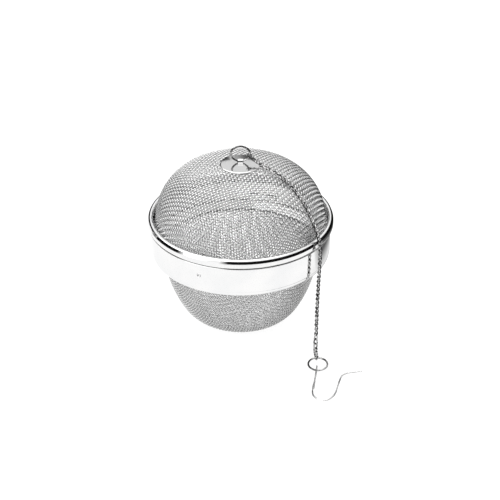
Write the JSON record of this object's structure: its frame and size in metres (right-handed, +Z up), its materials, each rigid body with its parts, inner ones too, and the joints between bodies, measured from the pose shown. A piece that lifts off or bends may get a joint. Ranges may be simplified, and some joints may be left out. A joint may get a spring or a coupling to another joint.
{
  "type": "tea infuser",
  "caption": "Spherical mesh infuser: a deep woven-wire cup and a domed mesh lid with a bayonet rim, a disc and ring on top, and a chain ending in a hanging hook.",
  "frame": {"origin": "centre of the cup's flat bottom, on the standing surface", "axes": "+Z up through the middle of the cup and lid; -Y towards the side where the chain's hook lies; +X to the right of that view"},
  "size_m": [0.1025, 0.1216, 0.0941],
  "materials": {
    "woven_wire": "polished woven stainless wire",
    "polished_sheet": "polished stainless sheet",
    "chain_wire": "polished stainless chain",
    "round_wire": "polished stainless wire"
  },
  "bodies": {
    "bowl": {"bowl_mesh": "woven_wire", "bowl_band": "polished_sheet", "bowl_clamp_ring": "polished_sheet", "bayonet_studs": "polished_sheet"},
    "lid_carrier": {"lid_clamp_ring": "polished_sheet"},
    "lid": {"lid_mesh": "woven_wire", "lid_rim": "polished_sheet", "top_disc": "polished_sheet", "backing_disc": "polished_sheet"},
    "top_ring": {"top_ring": "round_wire"},
    "chain_upper": {"chain_crown_links": "chain_wire", "chain_shoulder_links": "chain_wire"},
    "chain_drop": {"chain_rim_links": "chain_wire", "chain_hanging_links": "chain_wire", "chain_floor_links": "chain_wire"},
    "end_ring": {"end_ring": "round_wire"},
    "hook": {"hook": "round_wire"}
  },
  "joints": [
    {"name": "lid_lift", "type": "slide", "parent": "bowl", "child": "lid_carrier", "axis": [0, 0, 1], "range_m": [0, 0.06]},
    {"name": "lid_twist", "type": "hinge", "parent": "lid_carrier", "child": "lid", "pos_m": [0, 0, 0.05], "axis": [0, 0, -1], "range_deg": [0, 18]},
    {"name": "ring_tilt", "type": "hinge", "parent": "lid", "child": "top_ring", "pos_m": [0, 0, 0.08476], "axis": [1, 0, 0], "range_deg": [-60, 0]},
    {"name": "chain_lift", "type": "hinge", "parent": "top_ring", "child": "chain_upper", "pos_m": [0.00437, -0.0008, 0.08795], "axis": [-0.5446, -0.8387, 0], "range_deg": [0, 20]},
    {"name": "chain_swing", "type": "hinge", "parent": "chain_upper", "child": "chain_drop", "pos_m": [0.03681, -0.02759, 0.05666], "axis": [-0.6018, -0.7986, 0], "range_deg": [0, 45]},
    {"name": "end_ring_swing", "type": "hinge", "parent": "chain_drop", "child": "end_ring", "pos_m": [0.03608, -0.04468, 0.00216], "axis": [-1, 0, 0], "range_deg": [0, 60]},
    {"name": "hook_swing", "type": "hinge", "parent": "end_ring", "child": "hook", "pos_m": [0.0357, -0.0537, 0.00137], "axis": [-1, 0, 0], "range_deg": [0, 60]}
  ]
}
